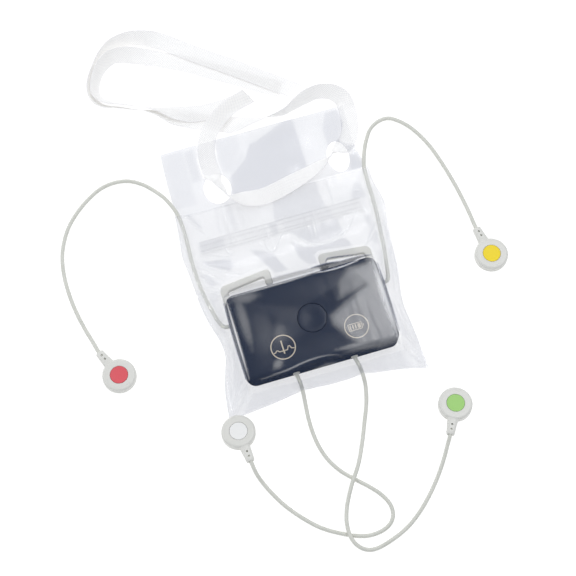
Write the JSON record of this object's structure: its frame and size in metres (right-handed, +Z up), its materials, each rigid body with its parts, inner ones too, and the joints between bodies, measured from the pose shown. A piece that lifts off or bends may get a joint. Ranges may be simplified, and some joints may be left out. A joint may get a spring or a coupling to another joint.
{
  "type": "holter monitor",
  "caption": "Small flat heart recorder with a push button, in a clear pouch with a neck strap, with lead wires that end in round snap clips in different colours.",
  "frame": {"origin": "on the table, under the middle of the recorder, on the flat underside of the pouch's back film", "axes": "+Z up from the table, +Y from the recorder towards the pouch's header and the strap, +X to the right-hand side seen from the front"},
  "size_m": [0.2416, 0.324, 0.015],
  "materials": {
    "front_cover": "moulded ABS, satin, dark blue-grey",
    "rear_cover": "moulded ABS, satin, warm light grey",
    "gasket": "moulded silicone",
    "circuit_board": "glass-epoxy board with green solder mask",
    "chip": "black moulded epoxy",
    "battery_foil": "laminated foil pouch",
    "battery_foam": "closed-cell foam",
    "switch_body": "moulded nylon",
    "plunger": "moulded nylon",
    "event_button": "moulded ABS, satin, dark blue-grey",
    "led_lens": "clear epoxy",
    "light_guide": "clear acrylic",
    "dock_contact": "gold-plated pin",
    "screw_steel": "zinc-plated steel",
    "insert_brass": "turned brass",
    "grommet": "moulded elastomer",
    "lead_jacket": "extruded soft PVC, satin, warm light grey",
    "clip_shell": "moulded ABS, satin, warm light grey",
    "clip_red": "moulded ABS, satin, red",
    "clip_yellow": "moulded ABS, satin, yellow",
    "clip_green": "moulded ABS, satin, green",
    "clip_white": "moulded ABS, satin, white",
    "snap_socket": "nickel-plated pressed brass",
    "pouch_film": "clear flexible vinyl film, glossy",
    "zip_track": "translucent polyethylene",
    "strap": "woven white polyester ribbon"
  },
  "bodies": {
    "recorder": {"front_cover": "front_cover", "rear_cover": "rear_cover", "seal_gasket": "gasket", "main_board": "circuit_board", "analogue_chip": "chip", "processor_chip": "chip", "memory_chip": "chip", "radio_module": "chip", "battery_cell": "battery_foil", "battery_pad": "battery_foam", "tact_switch": "switch_body", "status_led_left": "led_lens", "light_guide_left": "light_guide", "dock_contact_left": "dock_contact", "status_led_right": "led_lens", "light_guide_right": "light_guide", "dock_contact_right": "dock_contact", "cover_screw_1": "screw_steel", "screw_insert_1": "insert_brass", "cover_screw_2": "screw_steel", "screw_insert_2": "insert_brass", "cover_screw_3": "screw_steel", "screw_insert_3": "insert_brass", "cover_screw_4": "screw_steel", "screw_insert_4": "insert_brass", "lead_grommet_red": "grommet", "lead_red": "lead_jacket", "clip_shell_red": "clip_shell", "clip_disc_red": "clip_red", "snap_socket_red": "snap_socket", "lead_grommet_yellow": "grommet", "lead_yellow": "lead_jacket", "clip_shell_yellow": "clip_shell", "clip_disc_yellow": "clip_yellow", "snap_socket_yellow": "snap_socket", "lead_grommet_green": "grommet", "lead_green": "lead_jacket", "clip_shell_green": "clip_shell", "clip_disc_green": "clip_green", "snap_socket_green": "snap_socket", "lead_grommet_white": "grommet", "lead_white": "lead_jacket", "clip_shell_white": "clip_shell", "clip_disc_white": "clip_white", "snap_socket_white": "snap_socket", "pouch_back_film": "pouch_film", "pouch_front_film": "pouch_film", "zip_track_rear": "zip_track", "zip_track_front": "zip_track", "neck_strap": "strap"},
    "event_button": {"event_button": "event_button", "switch_plunger": "plunger"}
  },
  "joints": [
    {"name": "event_button_press", "type": "slide", "parent": "recorder", "child": "event_button", "axis": [0, 0, -1], "range_m": [0, 0.0008], "stiffness_N_per_m": 600, "springref_m": -0.0005}
  ]
}
